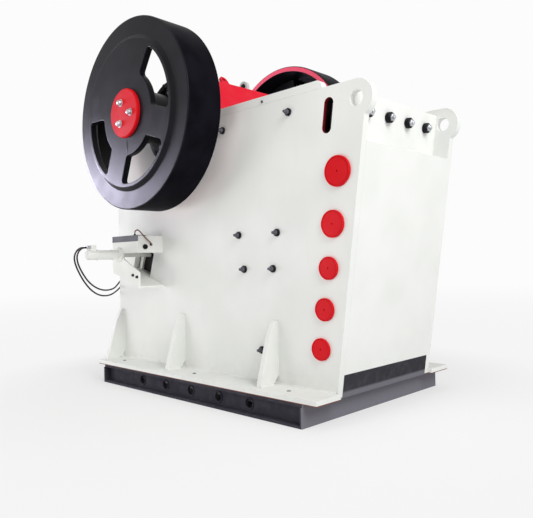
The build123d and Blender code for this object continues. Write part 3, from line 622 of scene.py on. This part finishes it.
ferrule = turned(
    ((0.0, 0.0), (0.013, 0.0), (0.013, 0.012), (0.0115, 0.014), (0.0125, 0.018), (0.0125, 0.036),
     (0.0105, 0.040), (0.0, 0.040)),
    20,
)
union = hexagon(0.027, 0.012)


def run_place(start, towards):
    """Place at a route's end with +Z along its first run."""
    origin = Vector(start) * mm
    run = Vector(towards) * mm - origin
    return Matrix.Translation(origin) @ run.to_track_quat("Z", "Y").to_matrix().to_4x4()


for name, route, length in (
    ("hose_lower", lower_hose_route, 1.631),
    ("hose_upper", upper_hose_route, 1.513),
):
    line = bpy.data.curves.new(f"{name}_line", "CURVE")
    line.dimensions = "3D"
    spline = line.splines.new("NURBS")
    spline.points.add(len(route) - 1)
    for point, place in zip(spline.points, route):
        point.co = (*(Vector(place) * mm), 1)
    spline.order_u = 3
    spline.use_endpoint_u = True
    spline.resolution_u = 10
    line.bevel_depth = 8 * mm
    line.bevel_resolution = 4
    line.use_fill_caps = True
    line.materials.append(hose_rubber)
    hose = bpy.data.objects.new(f"{name}_line", line)
    bpy.context.scene.collection.objects.link(hose)
    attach(hose, "frame")
    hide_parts(name)
    ends = (run_place(route[0], route[1]), run_place(route[-1], route[-2]))
    fittings = repeated(
        f"{name}_fittings", (union, ferrule), ends, zinc_steel, "frame"
    )

# Bolts on the side plates: a thick black washer, a bare nut and the end of the stud
cheek_bolt_places = (
    (0.400, 1.408),
    (0.844, 1.409),
    (0.460, 1.121),
    (0.793, 1.123),
    (0.654, 0.464),
    (0.991, 2.335),
    (0.223, 2.322),
)
washer = turned(
    ((0.010, 0.0), (0.029, 0.0), (0.0305, 0.002), (0.0305, 0.014), (0.027, 0.018), (0.010, 0.018)),
    32,
)
nut = hexagon(0.036, 0.020, 0.018)
stud_end = turned(
    ((0.0, 0.037), (0.0115, 0.037), (0.0115, 0.058), (0.0095, 0.060), (0.0, 0.060)), 24
)
for side, sign in SIDES:
    places = [on_side(sign, x, z, plate_out) for x, z in cheek_bolt_places]
    repeated(f"side_washers_{side}", (washer,), places, fastener_black, "frame")
    repeated(f"side_nuts_{side}", (nut, stud_end), places, nut_grey, "frame")

# Countersunk heads of the same bolts, just proud of the cheek plates
sunk_head = turned(
    ((0.0, 0.0006), (0.012, 0.0006), (0.013, 0.003), (0.036, 0.003), (0.039, 0.0)), 32
)
for side, sign in SIDES:
    places = [on_side(-sign, x, z, -cheek_in) for x, z in cheek_bolt_places]
    repeated(
        f"cheek_bolts_{side}", (sunk_head,), places, manganese_steel, "frame"
    )

# Four bolts of the fixed jaw's clamp, in the recess under the front's top edge
clamp_ys = (-0.415, -0.139, 0.139, 0.415)
recess_z = 2.270
recess_x = front_edge_x(recess_z) - 0.150
recess_places = [
    Matrix.Translation((recess_x, y, recess_z)) @ Matrix.Rotation(pi / 2 + front_lean, 4, "Y")
    for y in clamp_ys
]
cup_washer = turned(
    ((0.0, 0.0), (0.040, 0.0), (0.042, 0.003), (0.042, 0.034), (0.036, 0.040), (0.024, 0.040)), 32
)
clamp_nut = hexagon(0.052, 0.018, 0.037)
clamp_stud = turned(
    ((0.0, 0.054), (0.015, 0.054), (0.015, 0.064), (0.013, 0.066), (0.0, 0.066)), 24
)
repeated("clamp_washers", (cup_washer,), recess_places, fastener_black, "frame")
repeated(
    "clamp_nuts", (clamp_nut, clamp_stud), recess_places, zinc_steel, "frame"
)

# Heads of the bolts that pull the two jaw wedges tight
clamp_head = hexagon(0.070, 0.032, 0.006)
clamp_seat = turned(((0.0, 0.006), (0.050, 0.006), (0.052, 0.004), (0.052, 0.0)), 32)
for name, x, z, turn_deg, body in (
    ("fixed_wedge_bolts", 1.1716, 2.3368, -80.07, "frame"),
    ("moving_wedge_bolts", 0.1593, 2.3688, 78.75, "swing_jaw"),
):
    places = [
        Matrix.Translation((x, y, z)) @ Matrix.Rotation(radians(turn_deg), 4, "Y")
        for y in clamp_ys
    ]
    repeated(name, (clamp_head, clamp_seat), places, manganese_steel, body)

# Domed bolts on the hub caps, and the bolts of the bearing housings behind the wheels
dome = turned(
    ((0.0, 0.036), (0.009, 0.035), (0.018, 0.030), (0.023, 0.021), (0.0255, 0.010),
     (0.0255, 0.0)),
    28,
)
dome_washer = turned(((0.0, 0.004), (0.031, 0.004), (0.033, 0.002), (0.033, 0.0)), 28)
flange_bolt = hexagon(0.046, 0.026)
flange_washer = turned(((0.0, 0.005), (0.034, 0.005), (0.034, 0.0)), 24)
cover_bolt = hexagon(0.030, 0.016)
hub_cap_out = 1.221
hub_bolts_r = 0.105
housing_flange_out = 0.695
housing_bolts_r = 0.362
cover_bolts_out = 0.782
cover_bolts_r = 0.245
twelve_turns = range(15, 375, 30)
for side, sign in SIDES:
    places = ring_on_side(sign, shaft_x, shaft_z, hub_cap_out, hub_bolts_r, (-6, 114, 234))
    repeated(
        f"hub_bolts_{side}", (dome, dome_washer), places, zinc_steel, "rotor"
    )
    places = ring_on_side(
        sign, shaft_x, shaft_z, housing_flange_out, housing_bolts_r, twelve_turns
    )
    repeated(
        f"housing_bolts_{side}",
        (flange_bolt, flange_washer),
        places,
        housing_iron,
        "frame",
    )
    places = ring_on_side(sign, shaft_x, shaft_z, cover_bolts_out, cover_bolts_r, twelve_turns)
    repeated(f"cover_bolts_{side}", (cover_bolt,), places, zinc_steel, "frame")

# Screws on the rails
rail_screw = hexagon(0.020, 0.010)
for side, sign in SIDES:
    places = [on_side(sign, 0.707, 2.474, plate_out)]
    repeated(f"rail_screw_{side}", (rail_screw,), places, nut_grey, "frame")


# Dished covers on the front edge
def dish(radius):
    """Mesh of a cover with a rolled rim, a pressed groove and a small breather hole."""
    return turned(
        (
            (0.006, 0.001),
            (0.006, 0.017),
            (0.87 * radius, 0.017),
            (0.88 * radius, 0.014),
            (0.905 * radius, 0.014),
            (0.92 * radius, 0.019),
            (radius - 0.003, 0.0197),
            (radius - 0.0005, 0.016),
            (radius - 0.0005, 0.0),
        ),
        56,
    )


cover_setback = 0.185
for side, sign in SIDES:
    dishes = [
        (dish(radius), on_side(sign, front_edge_x(z) - cover_setback, z, plate_out))
        for z, radius in (
            (1.822, 0.114), (1.445, 0.102), (1.123, 0.086), (0.818, 0.086), (0.522, 0.084)
        )
    ]
    covers = placed(f"edge_caps_{side}_dished", dishes, red_paint, "frame")
    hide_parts(f"edge_caps_{side}")

# Skins on the walls of the slot beside the jaw's clamp: dark red near its mouth, which is red paint
# darkened as painted shade, and a near-black skin behind it, which is painted shade of the deep
# slot
slot_z = 2.240
slot_x = front_edge_x(slot_z) - 0.330
slot_half_length = 0.089
skin_outer_r = 0.0418
skin_inner_r = 0.0395
arc_steps = 12
for side, sign in SIDES:
    for name, reach_deg, low, high, finish, slot_name in (
        ("slot_red", 100, 0.618, 0.648, shaded_red, "red_paint"),
        ("slot_grease", 170, 0.557, 0.618, grease_and_shade_black, "black_steel"),
    ):
        near = min(sign * low, sign * high)
        outer_wall, inner_wall = [], []
        for end, first_deg, last_deg in ((1, 90 - reach_deg, 90), (-1, 90, 90 + reach_deg)):
            for part in range(arc_steps + 1):
                turn = radians(first_deg + (last_deg - first_deg) * part / arc_steps)
                for wall, radius in ((outer_wall, skin_outer_r), (inner_wall, skin_inner_r)):
                    along = end * slot_half_length + radius * cos(turn)
                    across = radius * sin(turn)
                    wall.append(
                        (
                            slot_x + along * sin(front_lean) - across * cos(front_lean),
                            near,
                            slot_z + along * cos(front_lean) + across * sin(front_lean),
                        )
                    )
        extruded(
            f"{name}_{side}",
            outer_wall + inner_wall[::-1],
            (0, high - low, 0),
            0.4,
            2,
            finish,
            "frame",
        )

# Flash line that the mould's joint left on each wheel, from the hub cap down to the windows. Its
# foot is sunk 0.2 mm in the wheel's web
seam_foot_out = 1.1908
seam_steps = 12
for side, sign in SIDES:
    rows = []
    for part in range(seam_steps + 1):
        drop = 0.216 + 0.155 * part / seam_steps
        taper = sin(pi * (part + 0.4) / (seam_steps + 0.8))
        rows.append(
            [
                (shaft_x + x * taper, sign * (seam_foot_out + out * taper), shaft_z - drop)
                for x, out in ((-0.012, 0.0), (-0.001, 0.0045), (0.001, 0.0045), (0.004, 0.0))
            ]
        )
    ridge = bmesh.new()
    skin_rows(ridge, rows)
    bmesh.ops.recalc_face_normals(ridge, faces=ridge.faces)
    fitted(f"wheel_seam_{side}", ridge, wheel_black, "rotor")

# Fillet welds of the feet and gussets
weld_leg = 8 * mm
gusset_half_t = 0.0225


def weld_beads(name, runs, finish, body):
    """Fillet welds, each from a start to an end between two plates that leave it along two
    directions. The ripples of a real bead, about 3 mm, are drawn 18 mm apart."""
    bm = bmesh.new()
    for start, end, first_plate, second_plate in (map(Vector, run) for run in runs):
        steps = round((end - start).length / (9 * mm))
        rows = []
        for step in range(steps + 1):
            ripple = weld_leg * (1 + 0.12 * (step % 2) + 0.06 * sin(step * 0.7))
            row = []
            for turn in (0, 30, 60, 90):
                away = first_plate * cos(radians(turn)) + second_plate * sin(radians(turn))
                row.append(start.lerp(end, step / steps) + ripple * away)
            rows.append(row)
        skin_rows(bm, rows)
    bmesh.ops.recalc_face_normals(bm, faces=bm.faces)
    return fitted(name, bm, finish, body, 60)


for side, sign in SIDES:
    plate = sign * plate_out
    runs = [((-1.448, plate, foot_top), (1.400, plate, foot_top), (0, sign, 0), (0, 0, 1))]
    for x in (-1.425, -0.395, 0.800):
        for face in (-1, 1):
            edge_x = x + face * gusset_half_t
            runs.append(
                (
                    (edge_x, plate, foot_top + 0.060),
                    (edge_x, plate, foot_top + 0.495),
                    (0, sign, 0),
                    (face, 0, 0),
                )
            )
            runs.append(
                (
                    (edge_x, plate + sign * 0.060, foot_top),
                    (edge_x, plate + sign * 0.200, foot_top),
                    (0, 0, 1),
                    (face, 0, 0),
                )
            )
    weld_beads(f"foot_welds_{side}", runs, white_paint, "frame")

# Collars round the holes in the base beams' webs, and screws that hold the foot down
collar = turned(((0.038, 0.0), (0.038, 0.005), (0.040, 0.007), (0.047, 0.007), (0.049, 0.0)), 36)
foot_screw = turned(
    ((0.0, 0.004), (0.006, 0.004), (0.007, 0.007), (0.014, 0.006), (0.017, 0.002), (0.017, 0.0)), 20
)
web_out = 0.880
web_hole_z = 0.085
web_hole_xs = (-0.728, -0.364, 0.0, 0.364, 0.728)
foot_screw_y = 0.805
foot_screw_xs = (-1.167, -0.046, 1.075)
for side, sign in SIDES:
    places = [on_side(sign, x, web_hole_z, web_out) for x in web_hole_xs]
    repeated(f"web_collars_{side}", (collar,), places, base_black, "frame")
    places = [Matrix.Translation((x, sign * foot_screw_y, foot_top)) for x in foot_screw_xs]
    repeated(f"foot_screws_{side}", (foot_screw,), places, milled_steel, "frame")

# Brackets of the wedge cylinders: a dark folded strip along the top plate, a plug in the front
# web, the bolts of the cylinder's flange and a bent grease pipe
flange_screw = hexagon(0.015, 0.009)
flange_shim = turned(((0.0, 0.002), (0.011, 0.002), (0.011, 0.0)), 16)
gland = turned(
    ((0.0445, 0.0), (0.0500, 0.001), (0.0510, 0.004), (0.0510, 0.013), (0.0490, 0.016),
     (0.0445, 0.016)),
    40,
)
small_nut = hexagon(0.021, 0.014, 0.003)
small_washer = turned(((0.0, 0.003), (0.014, 0.003), (0.014, 0.0)), 20)
pipe_nut = hexagon(0.022, 0.012)
web_cup = turned(
    ((0.0, 0.012), (0.010, 0.012), (0.012, 0.004), (0.016, 0.004), (0.019, 0.018), (0.023, 0.018),
     (0.024, 0.0)),
    28,
)
strip_section = (
    (0.9300, 1.400), (0.9300, 1.4525), (0.840, 1.4525), (0.840, 1.4575), (0.935, 1.4575),
    (0.935, 1.400),
)
bracket_out = 0.930
cylinder_flange_out = 0.952
flange_screws_r = 0.0585
to_front = Matrix.Rotation(pi / 2, 4, "Y")


def bent_pipe(name, bends, radius, finish, body):
    """A rigid round pipe along a line whose corners are rounded off."""
    bends = [Vector(bend) for bend in bends]
    line = [bends[0]]
    for before, bend, after in zip(bends, bends[1:], bends[2:]):
        enter, leave = before.lerp(bend, 0.5), bend.lerp(after, 0.5)
        for part in range(9):
            share = part / 8
            line.append(enter.lerp(bend, share).lerp(bend.lerp(leave, share), share))
    line.append(bends[-1])
    across = (line[1] - line[0]).orthogonal().normalized()
    rows = []
    for index, point in enumerate(line):
        ahead = line[min(index + 1, len(line) - 1)] - line[max(index - 1, 0)]
        ahead.normalize()
        across = (across - ahead * across.dot(ahead)).normalized()
        beside = ahead.cross(across)
        turns = [pi * part / 6 for part in range(12)]
        rows.append([point + radius * (cos(turn) * across + sin(turn) * beside) for turn in turns])
    bm = bmesh.new()
    skin_rows(bm, rows, closed=True)
    bmesh.ops.remove_doubles(bm, verts=bm.verts, dist=1e-6)
    bmesh.ops.recalc_face_normals(bm, faces=bm.faces)
    return fitted(name, bm, finish, body)


for side, sign, shift_x, cylinder_z in (("right", -1, 0.0, 1.2768), ("left", 1, 0.0639, 1.2560)):
    rear, front = -1.138 + shift_x, -0.692 + shift_x
    cylinder_x = -1.0270 + shift_x
    extruded(
        f"bracket_strip_{side}",
        [(rear, sign * y, z) for y, z in strip_section],
        (front - rear, 0, 0),
        1.5,
        3,
        strip_grey,
        "frame",
    )
    places = ring_on_side(
        sign, cylinder_x, cylinder_z, cylinder_flange_out, flange_screws_r, range(30, 390, 60)
    )
    repeated(
        f"cylinder_screws_{side}",
        (flange_screw, flange_shim),
        places,
        bracket_grey,
        "frame",
    )
    places = [on_side(sign, cylinder_x, cylinder_z, out) for out in (1.005, 1.160)]
    repeated(f"cylinder_glands_{side}", (gland,), places, bracket_grey, "frame")
    places = [Matrix.Translation((front + 0.002, sign * 0.857, 1.347)) @ to_front]
    repeated(f"web_cup_{side}", (web_cup,), places, fastener_black, "frame")
    places = [
        on_side(sign, x + shift_x, z, bracket_out) for x, z in ((-0.785, 1.078), (-0.716, 1.062))
    ]
    repeated(
        f"bracket_bolts_{side}",
        (small_nut, small_washer),
        places,
        fastener_black,
        "frame",
    )
    pipe_start = (-0.767 + shift_x, sign * 0.915, 1.457)
    pipe_end = (front + 0.002, sign * 0.790, 1.368)
    bent_pipe(
        f"grease_pipe_{side}",
        (
            pipe_start,
            (-0.767 + shift_x, sign * 0.915, 1.500),
            (-0.730 + shift_x, sign * 0.900, 1.512),
            (-0.676 + shift_x, sign * 0.870, 1.440),
            (-0.668 + shift_x, sign * 0.790, 1.372),
            pipe_end,
        ),
        0.006,
        pipe_brown,
        "frame",
    )
    places = [Matrix.Translation(pipe_start), Matrix.Translation(pipe_end) @ to_front]
    repeated(f"grease_nuts_{side}", (pipe_nut,), places, fastener_black, "frame")

# Bolts that hold the guard to the pitman, along its lower edge
guard_lean = radians(126.75)
guard_t = 0.025
guard_rise = 0.045
bolt_x = 0.0778 + guard_rise * cos(guard_lean) + guard_t * sin(guard_lean)
bolt_z = 2.4303 + guard_rise * sin(guard_lean) - guard_t * cos(guard_lean)
guard_places = [
    Matrix.Translation((bolt_x, y, bolt_z)) @ Matrix.Rotation(pi - guard_lean, 4, "Y")
    for y in (-0.470, -0.235, 0.235, 0.470)
]
guard_bolt = hexagon(0.026, 0.014, 0.003)
guard_washer = turned(((0.0, 0.003), (0.021, 0.003), (0.021, 0.0)), 24)
repeated(
    "guard_bolts", (guard_bolt, guard_washer), guard_places, red_painted_light, "swing_jaw"
)

# Black plug in the hole of the pitman's lifting lug
lug_plug = turned(
    ((0.0, 0.014), (0.014, 0.013), (0.026, 0.009), (0.034, 0.002), (0.034, 0.0005),
     (0.0225, 0.0005), (0.0225, -0.040), (0.0, -0.040)),
    28,
)
lug_place = on_side(-1, -0.385, 2.998, -0.179)
repeated("lug_plug", (lug_plug,), [lug_place], fastener_black, "swing_jaw")

# Studio: pale floor and backdrop, soft light from above and in front
floor_bm = bmesh.new()
bmesh.ops.create_circle(floor_bm, cap_ends=True, segments=64, radius=60)
floor_mesh = as_mesh("floor", floor_bm)
floor = bpy.data.objects.new("floor", floor_mesh)
bpy.context.scene.collection.objects.link(floor)
floor.location.z = -0.001
floor_finish, floor_tree, floor_place = start_finish("pale_floor")
floor_lit = add_node(
    floor_tree, "ShaderNodeBsdfDiffuse", {"Color": linear("fafafa")}
).outputs[0]
distance = add_node(
    floor_tree, "ShaderNodeVectorMath", {0: floor_place}, operation="LENGTH"
).outputs["Value"]
floor_tone = blended(
    floor_tree, between(floor_tree, distance, 3.0, 24.0), linear("f5f5f5"), linear("fcfcfc")
)
floor_far = add_node(
    floor_tree, "ShaderNodeEmission", {"Color": floor_tone, "Strength": 1.0}
).outputs[0]
# Under the machine the floor is dark, from just inside the base's edges, as its holes show
floor_parts = add_node(floor_tree, "ShaderNodeSeparateXYZ", {0: floor_place})
beside = []
for output, base_edge in ((0, 1.30), (1, 0.93)):
    off = calculated(floor_tree, "ABSOLUTE", floor_parts.outputs[output])
    beside.append(between(floor_tree, off, base_edge - 0.03, base_edge))
outside = calculated(floor_tree, "MAXIMUM", *beside)
near_share = between(floor_tree, distance, 1.2, 3.4, 0.5, 1.0)
own_light = calculated(floor_tree, "MULTIPLY", near_share, outside)
floor_blend = add_node(
    floor_tree, "ShaderNodeMixShader", {0: own_light, 1: floor_lit, 2: floor_far}
)
add_node(floor_tree, "ShaderNodeOutputMaterial", {"Surface": floor_blend.outputs[0]})
floor_mesh.materials.append(floor_finish)

world = bpy.data.worlds.new("studio")
bpy.context.scene.world = world
world.use_nodes = True
sky = world.node_tree
sky.nodes.clear()
ray = add_node(sky, "ShaderNodeLightPath", {})
seen = ray.outputs["Is Camera Ray"]
for kind in ("Is Glossy Ray", "Is Transmission Ray"):
    seen = calculated(sky, "MAXIMUM", seen, ray.outputs[kind])
lit_sky = add_node(sky, "ShaderNodeBackground", {"Color": linear("ffffff"), "Strength": 0.40})
seen_sky = add_node(sky, "ShaderNodeBackground", {"Color": linear("fcfcfc"), "Strength": 1.0})
both = add_node(
    sky, "ShaderNodeMixShader", {0: seen, 1: lit_sky.outputs[0], 2: seen_sky.outputs[0]}
)
add_node(sky, "ShaderNodeOutputWorld", {"Surface": both.outputs[0]})


def softbox(name, place, aim, size, watts, tint):
    """A studio lamp of a width and height at a place, turned to a point."""
    lamp = bpy.data.lights.new(name, "AREA")
    lamp.shape = "RECTANGLE"
    lamp.size, lamp.size_y = size
    lamp.energy = watts
    lamp.color = linear(tint)[:3]
    lamp_object = bpy.data.objects.new(name, lamp)
    away = Vector(place) - Vector(aim)
    lamp_object.matrix_world = (
        Matrix.Translation(place) @ away.to_track_quat("Z", "Y").to_matrix().to_4x4()
    )
    bpy.context.scene.collection.objects.link(lamp_object)
    return lamp_object


softbox("key", (7.5, -2.0, 6.5), (0.4, 0.0, 1.3), (4.5, 4.5), 500, "ffffff")
softbox("side_fill", (-0.5, -8.0, 5.0), (0.0, 0.0, 1.2), (4.0, 4.0), 90, "fffdf8")
softbox("low_fill", (-5.0, -5.5, 0.8), (-0.6, -0.8, 1.3), (4.0, 1.6), 115, "ffffff")
# A cold lamp that only the gloss mirrors gives the near wheel its pale sheen
sheen = softbox("low_sheen", (-6.5, -3.1, 2.45), (-0.6, -1.1, 1.9), (3.4, 1.2), 620, "e6e2fb")
sheen.visible_diffuse = False

bpy.context.scene.view_settings.view_transform = "Standard"
